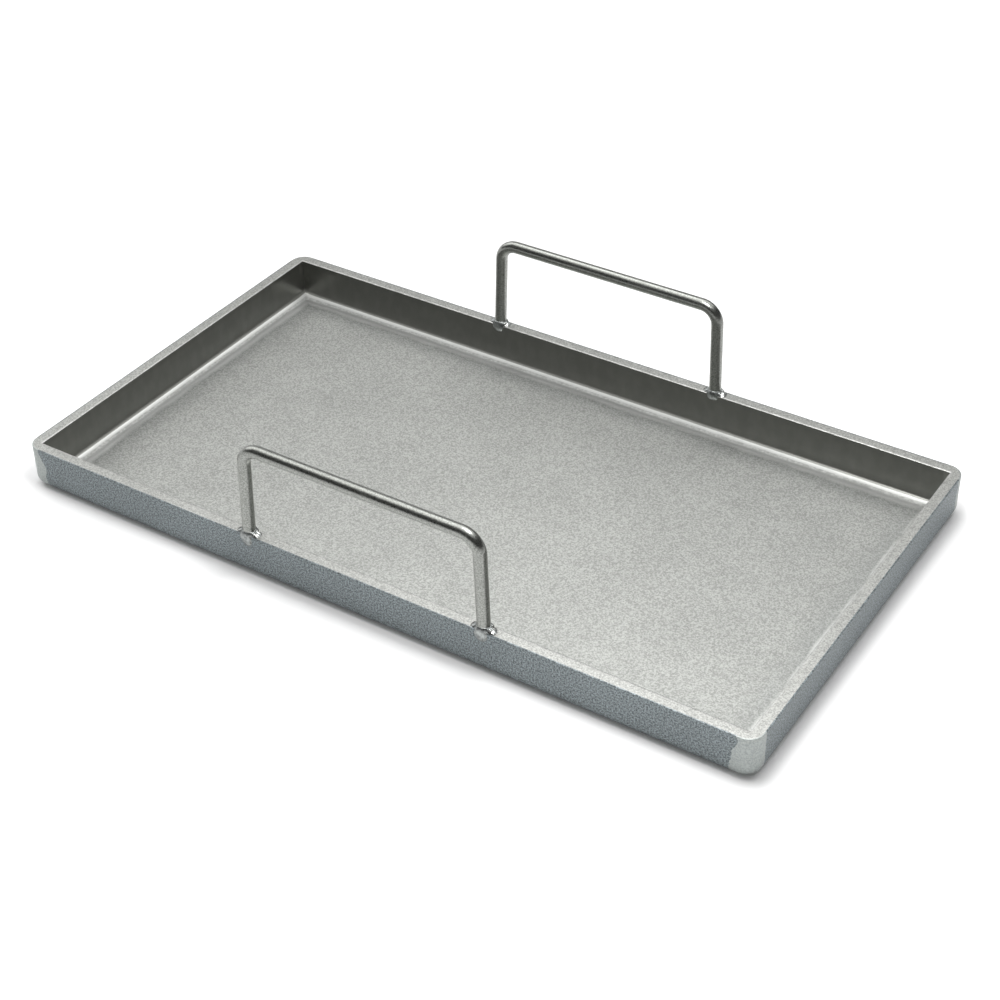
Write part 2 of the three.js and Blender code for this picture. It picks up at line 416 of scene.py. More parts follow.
def outline_at(along):
    """Plan point and outward direction of the back right corner's outline, from its middle."""
    if along < -HALF_ARC:
        return Vector((OUTER_X, OUTER_Y - CORNER_RADIUS + along + HALF_ARC)), Vector((1, 0))
    if along > HALF_ARC:
        return Vector((OUTER_X - CORNER_RADIUS - along + HALF_ARC, OUTER_Y)), Vector((0, 1))
    angle = QUARTER / 2 + along / CORNER_RADIUS
    outward = Vector((math.cos(angle), math.sin(angle)))
    centre = Vector((OUTER_X - CORNER_RADIUS, OUTER_Y - CORNER_RADIUS))
    return centre + outward * CORNER_RADIUS, outward


def corner_weld(name, side_x, side_y):
    """The weld metal of one corner, ground to the walls' section."""
    plan = section_plan()
    flip = Vector((side_x, side_y, 1))
    rows = []
    for step in range(CORNER_STEPS + 1):
        row = []
        for i, (part, share) in enumerate(plan):
            start = -(HALF_ARC + corner_reach(side_x, side_y, False, i) - CORNER_RADIUS)
            end = HALF_ARC + corner_reach(side_x, side_y, True, i) - CORNER_RADIUS
            outside, outward = outline_at(start + (end - start) * step / CORNER_STEPS)
            point = section_point(part, share, outside, outward) * flip
            row.append(uneven(point, Vector((outward.x * side_x, outward.y * side_y))))
        rows.append(row)
    level = CORNER_RADIUS - 0.5 * MM
    first = sunk_cap(rows[0], side_y * (OUTER_Y - level), 1)
    last = sunk_cap(rows[-1], side_x * (OUTER_X - level), 0)
    rows = [first, *rows, last]
    return strip_mesh(name, rows, part_masks(plan, len(rows)), sharp=50)


# ---- plate and its seam welds ----
def plate_mesh(name):
    """The plate as a fine sheet with eased edges and the slight waves that welding leaves."""
    spread_x = np.linspace(-1, 1, PLATE_COLUMNS)
    spread_y = np.linspace(-1, 1, PLATE_ROWS)
    work = bmesh.new()
    grids = []
    for top in (True, False):
        grid = []
        for u in spread_x:
            column = []
            for v in spread_y:
                x, y = u * INNER_X, v * INNER_Y
                edge = min(INNER_X - abs(x), INNER_Y - abs(y))
                wave = PLATE_WAVE * flowing(x, y, 0.3, 90 * MM) * smoothstep(edge, 3 * MM, 20 * MM)
                z = PLATE_TOP - PLATE_WAVE + wave if top else 0.0
                if edge < 0.5 * MM:
                    z += -PLATE_EASE if top else PLATE_EASE
                column.append(work.verts.new((x, y, z)))
            grid.append(column)
        grids.append(grid)
    join_grids(work, grids)
    mesh = bpy.data.meshes.new(name)
    work.to_mesh(mesh)
    work.free()
    tidy_normals(mesh, 40)
    return mesh


def join_grids(work, grids):
    """Faces of an upper and a lower grid of points, and the band round their edges."""
    wide, deep = len(grids[0]), len(grids[0][0])
    for grid in grids:
        for i in range(wide - 1):
            for j in range(deep - 1):
                work.faces.new((grid[i][j], grid[i + 1][j], grid[i + 1][j + 1], grid[i][j + 1]))
    rim = [(i, 0) for i in range(wide)]
    rim += [(wide - 1, j) for j in range(1, deep)]
    rim += [(i, deep - 1) for i in range(wide - 2, -1, -1)]
    rim += [(0, j) for j in range(deep - 2, 0, -1)]
    for k, (i, j) in enumerate(rim):
        m, n = rim[(k + 1) % len(rim)]
        work.faces.new((grids[0][i][j], grids[1][i][j], grids[1][m][n], grids[0][m][n]))


def seam_mesh(name, side):
    """The hollow fillet along the foot of one wall, fuller where it runs into the corners."""
    long = side in ("front", "back")
    sign = SIDES[side]
    half, depth = (INNER_X, INNER_Y) if long else (INNER_Y, INNER_X)
    steps = round(2 * half / SEAM_STEP)
    height = [0.5] + [turn / QUARTER for turn in quarter_turn(SEAM_ROUND)]
    rows = []
    for step in range(steps + 1):
        share = 2 * step / steps - 1
        from_corner = half * (1 - abs(share))
        swell = 1 + 0.09 * flowing(share * half, sign, long, 26 * MM)
        rise = sizes().seam_rise * (swell + 0.55 * math.exp(-((from_corner / (7 * MM)) ** 2)))
        row = [seam_point(0, 0, half, share, depth, long, sign)]
        for turn in quarter_turn(SEAM_ROUND):
            out = sizes().seam_spread * swell * (1 - math.sin(turn))
            up = rise * (1 - math.cos(turn))
            row.append(seam_point(out, up, half, share, depth, long, sign))
        rows.append(row)
    return strip_mesh(name, rows, {"height": height * len(rows)}, sharp=40)


def seam_point(out, up, half, share, depth, long, sign):
    """A point of a seam, out from the wall and up from the plate, drawn in towards its mitres."""
    along = share * (half - out)
    across = sign * (depth - out)
    z = PLATE_TOP - SEAM_SUNK + up
    return Vector((along, across, z)) if long else Vector((across, along, z))


# ---- handles ----
def bend_points(corner, before, after):
    """Points round the bend that joins two straight lines meeting at a corner."""
    back = (before - corner).normalized()
    ahead = (after - corner).normalized()
    half = back.angle(ahead) / 2
    centre = corner + (back + ahead).normalized() * (BEND_RADIUS / math.sin(half))
    start = corner + back * (BEND_RADIUS / math.tan(half)) - centre
    end = corner + ahead * (BEND_RADIUS / math.tan(half)) - centre
    sweep = start.angle(end)
    points = []
    for step in range(BEND_STEPS + 1):
        share = step / BEND_STEPS
        spoke = start * math.sin((1 - share) * sweep) + end * math.sin(share * sweep)
        points.append(centre + spoke / math.sin(sweep))
    return points


def handle_line():
    """Centre line of a handle in its own plane: x along the wall, y up from the rim."""
    rise = BAR_Z - RIM
    lean = math.tan(LEG_SPLAY)
    feet = [Vector((s * (FOOT_X + FOOT_SUNK * lean), -FOOT_SUNK)) for s in (-1, 1)]
    tops = [Vector((s * (FOOT_X - rise * lean), rise)) for s in (-1, 1)]
    left_bend = bend_points(tops[0], feet[0], tops[1])
    right_bend = bend_points(tops[1], tops[0], feet[1])
    line = straight_points(feet[0], left_bend[0]) + left_bend
    line += straight_points(left_bend[-1], right_bend[0])[1:] + right_bend
    return line + straight_points(feet[1], right_bend[-1])[::-1]


def straight_points(start, end):
    """Evenly spaced points from start up to, but without, the end."""
    count = round((end - start).length / ROD_STEP)
    return [start.lerp(end, i / count) for i in range(count)]


def rod_mesh(name, side):
    """The bent rod of one wall's handle."""
    line = handle_line()
    rows = []
    for i, point in enumerate(line):
        ahead = line[min(i + 1, len(line) - 1)] - line[max(i - 1, 0)]
        across = Vector((-ahead.y, ahead.x)).normalized()
        row = []
        for k in range(ROD_SIDES):
            angle = 4 * QUARTER * k / ROD_SIDES
            flat = point + across * (ROD_RADIUS * math.cos(angle))
            y = SIDES[side] * HANDLE_Y + ROD_RADIUS * math.sin(angle)
            row.append(Vector((HANDLE_X[side] + flat.x, y, RIM + flat.y)))
        rows.append(row)
    return strip_mesh(name, rows, {}, sharp=60)


# ---- welds round the handle feet ----
class Bead:
    """How one half weld was laid, in millimetres: its reach along the rim to the left and right,
    how far it hangs down the wall and climbs the rod, which way its sag leans, and its end crater."""

    def __init__(self, left, right, hang, climb, lean, crater):
        self.left = left * MM
        self.right = right * MM
        self.hang = hang * MM
        self.climb = climb * MM
        self.lean = lean
        self.crater = crater


# Keys are the wall, the end of the handle and the face. Left and right are as laid, facing the weld.
BEADS = {
    "front_left_outer": Bead(10.4, 10.4, 9.0, 3.6, 0.3, 1),
    "front_left_inner": Bead(9.8, 10.0, 5.0, 3.8, -0.2, -1),
    "front_right_outer": Bead(10.2, 10.8, 8.4, 3.8, 0.1, 1),
    "front_right_inner": Bead(9.4, 10.2, 5.6, 3.4, 0.2, -1),
    "back_left_inner": Bead(10.0, 9.6, 6.2, 3.6, 0.15, 1),
    "back_left_outer": Bead(10.0, 9.8, 5.4, 3.6, -0.2, 1),
    "back_right_inner": Bead(10.4, 10.2, 4.8, 3.6, -0.15, 1),
    "back_right_outer": Bead(9.6, 10.2, 6.0, 3.4, 0.2, -1),
}
RIPPLES = 13
BEAD_STEPS = 72
BEAD_CURVE = 16
BEAD_OVERLAP = 0.12


def bead_control(bead, turn):
    """The top, pull and toe points (distance out, height) of a weld's section at a turn round the rod.

    The turn runs from 0 at the left, through a right angle facing away, to two right angles.
    """
    facing = math.sin(turn)
    reach = bead.left if turn < QUARTER else bead.right
    to_face = (WALL / 2 - 0.15 * MM) / max(facing, 0.05)
    over = smoothstep(QUARTER - abs(turn - QUARTER), 0.30, 1.05)
    sag = over ** 0.5 * (1 - 0.4 * min(1.0, abs(turn - QUARTER - bead.lean) / 1.1) ** 2)
    top = (ROD_RADIUS - 0.2 * MM, bead.climb * (0.75 + 0.25 * facing))
    toe = (min(reach, to_face), -0.25 * MM - bead.hang * sag)
    out = 6.2 * MM + 1.9 * MM * over
    pull = (out, (1.1 - 1.3 * over) * MM)
    return top, pull, toe


def bead_row(bead, turn):
    """One closed section of a weld: its skin from the rod to the toe, then back inside the steel."""
    top, pull, toe = bead_control(bead, turn)
    row = []
    for step in range(BEAD_CURVE + 1):
        t = step / BEAD_CURVE
        share = ((1 - t) ** 2, 2 * t * (1 - t), t * t)
        out = share[0] * top[0] + share[1] * pull[0] + share[2] * toe[0]
        up = share[0] * top[1] + share[1] * pull[1] + share[2] * toe[1]
        lift = math.sin(math.pi * t)
        phase = turn / math.pi * RIPPLES + 0.55 * lift
        swell = 0.16 * MM * math.sin(2 * math.pi * phase)
        swell += 0.3 * MM * flowing(turn * 2.2, t * 1.6, bead.left / MM, 1.0)
        row.append((out + swell * lift, up + 0.6 * swell * lift))
    inner = ROD_RADIUS - 1.2 * MM
    row.append((inner, min(toe[1], -0.8 * MM)))
    row.append((inner, top[1] - 1.0 * MM))
    return row


def bead_mesh(name, bead, foot, side):
    """One half weld round a handle foot, laid to -Y of the rod and then turned into place.

    Its ends run a little past the half turn, into the other half weld.
    """
    rows = []
    for step in range(BEAD_STEPS + 1):
        turn = -BEAD_OVERLAP + (math.pi + 2 * BEAD_OVERLAP) * step / BEAD_STEPS
        across, away = -math.cos(turn), -math.sin(turn)
        section = bead_row(bead, min(math.pi, max(0.0, turn)))
        rows.append([Vector((out * across, out * away, up)) for out, up in section])
    mesh = strip_mesh(name, rows, {}, sharp=180)
    shape_bead(mesh, bead)
    turned = Matrix.Rotation(2 * QUARTER if side > 0 else 0, 4, "Z")
    mesh.transform(Matrix.Translation(foot) @ turned)
    return mesh


def shape_bead(mesh, bead):
    """Adds the end crater and the masks for the finish. The rod stands at the origin."""
    reach = bead.right if bead.crater > 0 else bead.left
    crater = Vector((bead.crater * (reach - 3.4 * MM), -2.4 * MM, 1.3 * MM))
    toe = []
    bright = []
    for vertex in mesh.vertices:
        point = vertex.co.copy()
        near = (point - crater).length
        mound = math.exp(-((near / (2.7 * MM)) ** 2))
        dent = math.exp(-((near / (1.0 * MM)) ** 2))
        pit = 0.1 * MM * flowing(*point, 1.1 * MM)
        vertex.co = point + vertex.normal * (0.9 * MM * mound - 0.7 * MM * dent + pit)
        # mask for painted shade: the weld's starting end and its toe against the steel
        start = smoothstep(-bead.crater * point.x, 6.0 * MM, 8.5 * MM)
        toe.append(max(0.9 * start, 1 - smoothstep(above_steel(point), 0.1 * MM, 0.6 * MM)))
        # mask for the painted highlight on the crater's mound
        bright.append(smoothstep(mound, 0.45, 0.9))
        keep_in_box(vertex)
    add_masks(mesh, {"toe": toe, "bright": bright})
    tidy_normals(mesh, 180)


def above_steel(point):
    """Distance of a weld point from the rim or the wall face that it lies against."""
    over_rim = max(0.0, point.z)
    off_face = max(0.0, -WALL / 2 - point.y)
    return math.hypot(over_rim, off_face)


def keep_in_box(vertex):
    """Flattens a weld where it would stand further out than the frame's own weld."""
    limit = BEAD_OUT - 0.05 * MM
    if vertex.co.y < -limit:
        vertex.co.y = -limit


# ---- finishes ----
# Fixed shades, beside the finishes that a user may change.
WHITE = (1.0, 1.0, 1.0)
# painted highlight colour, for the plate beside the welds and the fillet's bright line
PAINTED_HIGHLIGHT = (0.78, 0.79, 0.77)
# painted shade colour for the plate near the walls
WALL_SHADE_PAINT = (0.22, 0.232, 0.23)
# painted highlight colour for the rim's inside edge
EDGE_HIGHLIGHT_PAINT = (0.62, 0.62, 0.61)
FILLET_DULL = (0.50, 0.51, 0.49)
FILLET_PALE = (0.66, 0.67, 0.65)
# painted shade colour for the weld toes
TOE_SHADE_PAINT = (0.06, 0.055, 0.045)
# painted highlight colour for the weld's end crater
CRATER_HIGHLIGHT_PAINT = (0.6, 0.61, 0.59)


class Finish:
    """A node material being put together."""

    def __init__(self, name):
        self.material = bpy.data.materials.new(name)
        self.material.use_nodes = True
        self.tree = self.material.node_tree
        self.tree.nodes.clear()
        self.output = self.tree.nodes.new("ShaderNodeOutputMaterial")
        self.shader = self.tree.nodes.new("ShaderNodeBsdfPrincipled")
        self.tree.links.new(self.shader.outputs["BSDF"], self.output.inputs["Surface"])
        self.place = self.tree.nodes.new("ShaderNodeTexCoord").outputs["Object"]

    def node(self, kind, output, settings=None, **inputs):
        made = self.tree.nodes.new(kind)
        for key, value in (settings or {}).items():
            setattr(made, key, value)
        for key, value in inputs.items():
            self.feed(made.inputs[key.replace("_", " ")], value)
        return made.outputs[output]

    def feed(self, socket, value):
        if isinstance(value, bpy.types.NodeSocket):
            self.tree.links.new(value, socket)
        else:
            socket.default_value = value

    def math(self, operation, first, second=0.0):
        made = self.tree.nodes.new("ShaderNodeMath")
        made.operation = operation
        self.feed(made.inputs[0], first)
        self.feed(made.inputs[1], second)
        return made.outputs[0]

    def noise(self, feature, detail=2.0, roughness=0.5, stretch=None):
        """Noise whose blotches are about one feature wide, in metres."""
        place = self.place
        if stretch:
            place = self.node("ShaderNodeMapping", "Vector", Vector=place, Scale=stretch)
        return self.node(
            "ShaderNodeTexNoise", "Fac", Vector=place, Scale=1 / feature, Detail=detail, Roughness=roughness
        )

    def mask(self, label):
        return self.node("ShaderNodeAttribute", "Fac", {"attribute_name": label})

    def band(self, value, low, high, start=0.0, end=1.0):
        """Value carried from low..high to start..end, with smooth ends."""
        made = self.tree.nodes.new("ShaderNodeMapRange")
        made.interpolation_type = "SMOOTHSTEP"
        self.feed(made.inputs["Value"], value)
        made.inputs["From Min"].default_value = low
        made.inputs["From Max"].default_value = high
        made.inputs["To Min"].default_value = start
        made.inputs["To Max"].default_value = end
        return made.outputs["Result"]

    def mix(self, share, first, second, blend="MIX"):
        made = self.tree.nodes.new("ShaderNodeMix")
        made.data_type = "RGBA"
        made.blend_type = blend
        self.feed(made.inputs["Factor"], share)
        self.feed(made.inputs["A"], colour(first))
        self.feed(made.inputs["B"], colour(second))
        return made.outputs["Result"]

    def blend(self, share, first, second):
        """A number between first and second."""
        made = self.tree.nodes.new("ShaderNodeMix")
        made.data_type = "FLOAT"
        self.feed(made.inputs["Factor"], share)
        self.feed(made.inputs["A"], first)
        self.feed(made.inputs["B"], second)
        return made.outputs["Result"]

    def bump(self, height, depth, strength):
        return self.node("ShaderNodeBump", "Normal", Height=height, Distance=depth, Strength=strength)

    def surface(self, base, roughness, normal, metallic):
        self.feed(self.shader.inputs["Base Color"], colour(base))
        self.feed(self.shader.inputs["Roughness"], roughness)
        self.feed(self.shader.inputs["Normal"], normal)
        self.feed(self.shader.inputs["Metallic"], metallic)
        return self.material


def colour(value):
    """Sockets pass through, and colours get an alpha."""
    if isinstance(value, bpy.types.NodeSocket):
        return value
    return (*value[:3], 1.0)


def scaled(base, factor):
    return tuple(min(1.0, channel * factor) for channel in base[:3])


def blasted(finish, base, contrast, feature=1.25 * MM):
    """Grit blasted colour, and the height of its pits."""
    grain = finish.noise(feature, 2.0, 0.65)
    fleck = finish.noise(feature * 0.62, 1.0)
    cloud = finish.noise(60 * MM, 3.0, 0.6)
    tone = finish.band(grain, 0.3, 0.7)
    mixed = finish.mix(tone, scaled(base, 1 - contrast), scaled(base, 1 + contrast))
    mixed = finish.mix(finish.band(fleck, 0.66, 0.74, 0.0, 0.35), mixed, scaled(base, 1.6))
    clouded = finish.mix(finish.band(cloud, 0.35, 0.65), scaled(WHITE, 0.94), WHITE)
    return finish.mix(1.0, mixed, clouded, "MULTIPLY"), grain


def plate_finish():
    """Blasted plate: a painted highlight band beside the welds, then a band of painted shade from the walls
    further out.
    """
    finish = Finish("blasted_plate")
    look = finishes()
    mixed, grain = blasted(finish, look.plate, 0.28)
    edge = distance_to_walls(finish)
    wander = finish.math("ADD", edge, finish.math("MULTIPLY", finish.noise(30 * MM), 5 * MM))
    # painted highlight: the plate is coloured lighter in a band a few millimetres out from the walls, for
    # light caught beside the welds
    highlight_band = finish.math(
        "MULTIPLY", finish.band(wander, 8 * MM, 9.5 * MM), finish.band(wander, 13.5 * MM, 18 * MM, 1, 0)
    )
    # painted shade: a darker band about 12 to 39 mm out from the walls, where the walls shade the plate
    shade = finish.math(
        "MULTIPLY", finish.band(wander, 12 * MM, 15 * MM), finish.band(wander, 19 * MM, 39 * MM, 1, 0)
    )
    mixed = finish.mix(finish.math("MULTIPLY", shade, 0.18), mixed, WALL_SHADE_PAINT)
    # lay the painted highlight colour over that band
    mixed = finish.mix(finish.math("MULTIPLY", highlight_band, 0.8), mixed, PAINTED_HIGHLIGHT)
    rough = finish.blend(grain, 0.42, 0.56)
    rough = finish.blend(finish.math("MULTIPLY", highlight_band, 0.5), rough, 0.3)
    pits = finish.bump(grain, 0.12 * MM, 0.5)
    return finish.surface(mixed, rough, pits, 0.85)


def distance_to_walls(finish):
    """Distance from the nearest inside wall face, in plan."""
    split = finish.tree.nodes.new("ShaderNodeSeparateXYZ")
    finish.feed(split.inputs[0], finish.place)
    in_x = finish.math("SUBTRACT", INNER_X, finish.math("ABSOLUTE", split.outputs["X"]))
    in_y = finish.math("SUBTRACT", INNER_Y, finish.math("ABSOLUTE", split.outputs["Y"]))
    return finish.math("MINIMUM", in_x, in_y)


def wall_finish(name, base, contrast, streaks):
    """Blasted outside, dressed rim and smooth dark inside faces of the bars or their corner welds."""
    finish = Finish(name)
    look = finishes()
    outside, grain = blasted(finish, base, contrast)
    rim, _ = blasted(finish, look.rim, 0.30, 1.1 * MM)
    # painted highlight: the rim's eased inside edge is coloured lighter in patches, for the light that it
    # catches
    edge_highlight = finish.band(finish.noise(9 * MM, 3.0), 0.35, 0.7, 0.1, 0.7)
    rim = finish.mix(finish.math("MULTIPLY", finish.mask("edge"), edge_highlight), rim, EDGE_HIGHLIGHT_PAINT)
    smear = finish.noise(9 * MM, 2.0, 0.5, (1.0, 1.0, 0.6))
    inside = finish.mix(finish.band(smear, 0.35, 0.7), look.scale, scaled(look.scale, 1.0 + streaks))
    is_rim = finish.band(finish.mask("rim"), 0.3, 0.7)
    is_inside = finish.band(finish.mask("inside"), 0.45, 0.75)
    mixed = finish.mix(is_rim, outside, rim)
    mixed = finish.mix(is_inside, mixed, inside)
    rough = finish.blend(grain, 0.40, 0.54)
    rough = finish.blend(is_rim, rough, 0.42)
    rough = finish.blend(is_inside, rough, finish.blend(smear, 0.31, 0.37))
    relief = finish.math("MULTIPLY", grain, finish.blend(is_inside, 1.0, 0.12))
    pits = finish.bump(relief, 0.12 * MM, 0.45)
    return finish.surface(mixed, rough, pits, 0.85)


def fillet_finish():
    """Dressed fillet weld with a faint ripple: pale, with a painted highlight line halfway up and a painted
    dark reflection of the wall along its top.
    """
    finish = Finish("dressed_fillet")
    ripple = finish.noise(2.2 * MM, 2.0)
    height = finish.mask("height")
    # painted highlight: a bright line halfway up the fillet
    highlight_line = finish.math("MULTIPLY", finish.band(height, 0.22, 0.36), finish.band(height, 0.5, 0.6, 1, 0))
    mixed = finish.mix(finish.band(ripple, 0.3, 0.7), FILLET_DULL, FILLET_PALE)
    mixed = finish.mix(highlight_line, mixed, PAINTED_HIGHLIGHT)
    # painted reflection: the fillet's top takes the colour of the dark inside wall that it would reflect
    mixed = finish.mix(finish.band(height, 0.5, 0.62), mixed, finishes().scale)
    rough = finish.blend(ripple, 0.3, 0.42)
    return finish.surface(mixed, rough, finish.bump(ripple, 0.1 * MM, 0.5), 0.45)


def rod_finish():
    """Drawn rod: satin, with fine lines along it and dull blotches from handling."""
    finish = Finish("drawn_rod")
    look = finishes()
    lines = finish.noise(1.0 * MM, 3.0, 0.6)
    blotch = finish.noise(14 * MM, 3.0, 0.6)
    mixed = finish.mix(finish.band(lines, 0.3, 0.7), scaled(look.rod, 0.68), scaled(look.rod, 1.32))
    mixed = finish.mix(finish.band(blotch, 0.5, 0.72, 0.0, 0.4), mixed, scaled(look.rod, 0.78))
    rough = finish.math("ADD", finish.blend(lines, 0.24, 0.34), finish.band(blotch, 0.5, 0.75, 0, 0.08))
    return finish.surface(mixed, rough, finish.bump(lines, 0.05 * MM, 0.5), 0.95)


def bead_finish():
    """Weld metal: grey and rippled, with painted shade at its toes and starting end, and a painted
    highlight on its end crater.
    """
    finish = Finish("handle_bead")
    look = finishes()
    patch = finish.noise(2.4 * MM, 3.0, 0.6)
    mixed = finish.mix(finish.band(patch, 0.3, 0.7), scaled(look.bead, 0.7), scaled(look.bead, 1.4))
    # painted shade: darkest where the weld meets the steel and over its starting end
    toe = finish.math("MULTIPLY", finish.mask("toe"), finish.band(patch, 0.25, 0.6, 0.85, 0.3))
    mixed = finish.mix(toe, mixed, TOE_SHADE_PAINT)
    # painted highlight: the end crater's mound is coloured pale
    mixed = finish.mix(finish.mask("bright"), mixed, CRATER_HIGHLIGHT_PAINT)
    rough = finish.blend(patch, 0.28, 0.5)
    rough = finish.blend(finish.mask("bright"), rough, 0.22)
    return finish.surface(mixed, rough, finish.bump(patch, 0.15 * MM, 0.6), 0.92)


def floor_finish():
    """Pale painted floor with a hardly visible mottle and a faint glow that rises into the backdrop."""
    finish = Finish("studio_floor")
    look = finishes()
    mottle = finish.noise(0.05, 3.0)
    mixed = finish.mix(mottle, scaled(look.floor, 0.99), look.floor)
    away = finish.tree.nodes.new("ShaderNodeVectorMath")
    away.operation = "LENGTH"
    finish.feed(away.inputs[0], finish.place)
    glow = finish.band(away.outputs["Value"], 0.5, 1.3, 0.09, 0.4)
    finish.feed(finish.shader.inputs["Emission Color"], colour(WHITE))
    finish.feed(finish.shader.inputs["Emission Strength"], glow)
    return finish.surface(mixed, 0.75, finish.bump(mottle, 0.05 * MM, 0.2), 0.0)


# ---- operators, one for each group of like pieces ----
class GRIDDLE_OT_plate(bpy.types.Operator):
    """Makes the cooking plate"""

    bl_idname = "griddle.plate"
    bl_label = "Plate"

    def execute(self, context):
        mesh = plate_mesh("plate")
        piece_from("plate", mesh, plate_finish(), ["griddle_plate"])
        return {"FINISHED"}


class GRIDDLE_OT_walls(bpy.types.Operator):
    """Makes the four wall bars"""

    bl_idname = "griddle.walls"
    bl_label = "Walls"

    def execute(self, context):
        steel = wall_finish("blasted_bar", finishes().bar, 0.62, 0.10)
        for side in ("front", "back", "left", "right"):
            name = f"bar_{side}"
            mesh = straight_wall(name, side)
            piece_from(name, mesh, steel, [f"wall_{side}"])
        return {"FINISHED"}


class GRIDDLE_OT_corner_welds(bpy.types.Operator):
    """Makes the four corner welds, ground flush"""

    bl_idname = "griddle.corner_welds"
    bl_label = "Corner welds"

    def execute(self, context):
        steel = wall_finish("ground_corner", finishes().ground, 0.18, 0.45)
        for side_y in ("front", "back"):
            for side_x in ("left", "right"):
                name = f"corner_{side_y}_{side_x}"
                mesh = corner_weld(name, SIDES[side_x], SIDES[side_y])
                node = f"corner_weld_{side_y}_{side_x}"
                piece_from(name, mesh, steel, [node])
        return {"FINISHED"}


class GRIDDLE_OT_seam_welds(bpy.types.Operator):
    """Makes the fillet welds between the plate and the walls"""

    bl_idname = "griddle.seam_welds"
    bl_label = "Seam welds"

    def execute(self, context):
        steel = fillet_finish()
        for side in ("front", "back", "left", "right"):
            name = f"fillet_{side}"
            mesh = seam_mesh(name, side)
            piece_from(name, mesh, steel, [f"seam_weld_{side}"])
        return {"FINISHED"}


class GRIDDLE_OT_handles(bpy.types.Operator):
    """Makes the two bent rod handles"""

    bl_idname = "griddle.handles"
    bl_label = "Handles"

    def execute(self, context):
        steel = rod_finish()
        for side in ("front", "back"):
            name = f"rod_{side}"
            piece_from(name, rod_mesh(name, side), steel, [f"handle_{side}"])
        return {"FINISHED"}


class GRIDDLE_OT_handle_welds(bpy.types.Operator):
    """Makes the eight half welds round the handle feet"""

    bl_idname = "griddle.handle_welds"
    bl_label = "Handle welds"

    def execute(self, context):
        steel = bead_finish()
        for label, bead in BEADS.items():
            wall, end, face = label.split("_")
            outwards = SIDES[wall] if face == "outer" else -SIDES[wall]
            foot = Vector((HANDLE_X[wall] + SIDES[end] * FOOT_X, SIDES[wall] * HANDLE_Y, RIM))
            mesh = bead_mesh(f"bead_{label}", bead, foot, outwards)
            piece_from(f"bead_{label}", mesh, steel, [f"handle_weld_{label}"])
        return {"FINISHED"}


# ---- studio ----
FLOOR_HALF = 14.0
FLOOR_DROP = 0.0002


def add_floor():
    """A square floor just under the griddle, so that the two never share a face."""
    work = bmesh.new()
    bmesh.ops.create_grid(work, x_segments=8, y_segments=8, size=FLOOR_HALF)
    mesh = bpy.data.meshes.new("floor")
    work.to_mesh(mesh)
    work.free()
    floor = bpy.data.objects.new("floor", mesh)
    floor.location.z = -FLOOR_DROP
    bpy.context.scene.collection.objects.link(floor)
    mesh.materials.append(floor_finish())


def aim(thing, target):
    """Turns a light so that it shines at a point."""
    thing.rotation_mode = "QUATERNION"
    thing.rotation_quaternion = (target - thing.location).to_track_quat("-Z", "Y")


def add_softbox(name, place, target, size, power):
    """A square area light of one side length in metres and a power in watts."""
    light = bpy.data.lights.new(name, "AREA")
    light.shape = "SQUARE"
    light.size = size
    light.energy = power
    box = bpy.data.objects.new(name, light)
    box.location = place
    box.visible_camera = False
    bpy.context.scene.collection.objects.link(box)
    aim(box, Vector(target))


class Sky:
    """The world's node tree, with soft patches of light about chosen directions."""

    def __init__(self):
        self.world = bpy.data.worlds.new("studio")
        self.world.use_nodes = True
        self.tree = self.world.node_tree
        self.tree.nodes.clear()
        self.place = self.tree.nodes.new("ShaderNodeTexCoord").outputs["Generated"]

    def patch(self, axis, edge, core, strength):
        """Light that rises from nothing at edge degrees off the axis to full strength at core degrees."""
        facing = self.tree.nodes.new("ShaderNodeVectorMath")
        facing.operation = "DOT_PRODUCT"
        facing.inputs[1].default_value = Vector(axis).normalized()
        self.tree.links.new(self.place, facing.inputs[0])
        rise = self.tree.nodes.new("ShaderNodeMapRange")
        rise.interpolation_type = "SMOOTHSTEP"
        rise.inputs["From Min"].default_value = math.cos(math.radians(edge))
        rise.inputs["From Max"].default_value = math.cos(math.radians(core))
        rise.inputs["To Max"].default_value = strength
        self.tree.links.new(facing.outputs["Value"], rise.inputs["Value"])
        return rise.outputs["Result"]

    def background(self, strength):
        """White light from all round, with a number or a socket for its strength."""
        made = self.tree.nodes.new("ShaderNodeBackground")
        made.inputs["Color"].default_value = colour(WHITE)
        if isinstance(strength, bpy.types.NodeSocket):
            self.tree.links.new(strength, made.inputs["Strength"])
        else:
            made.inputs["Strength"].default_value = strength
        return made.outputs["Background"]

    def total(self, parts):
        """The sum of a list of sockets and numbers."""
        sum_so_far = parts[0]
        for part in parts[1:]:
            made = self.tree.nodes.new("ShaderNodeMath")
            made.operation = "ADD"
            for socket, value in zip(made.inputs, (sum_so_far, part)):
                if isinstance(value, bpy.types.NodeSocket):
                    self.tree.links.new(value, socket)
                else:
                    socket.default_value = value
            sum_so_far = made.outputs[0]
        return sum_so_far


def direction(azimuth, elevation):
    """Unit vector to a point of the sky: azimuth 0 is the back and 90 the right, in degrees."""
    a, e = math.radians(azimuth), math.radians(elevation)
    return Vector((math.sin(a) * math.cos(e), math.cos(a) * math.cos(e), math.sin(e)))


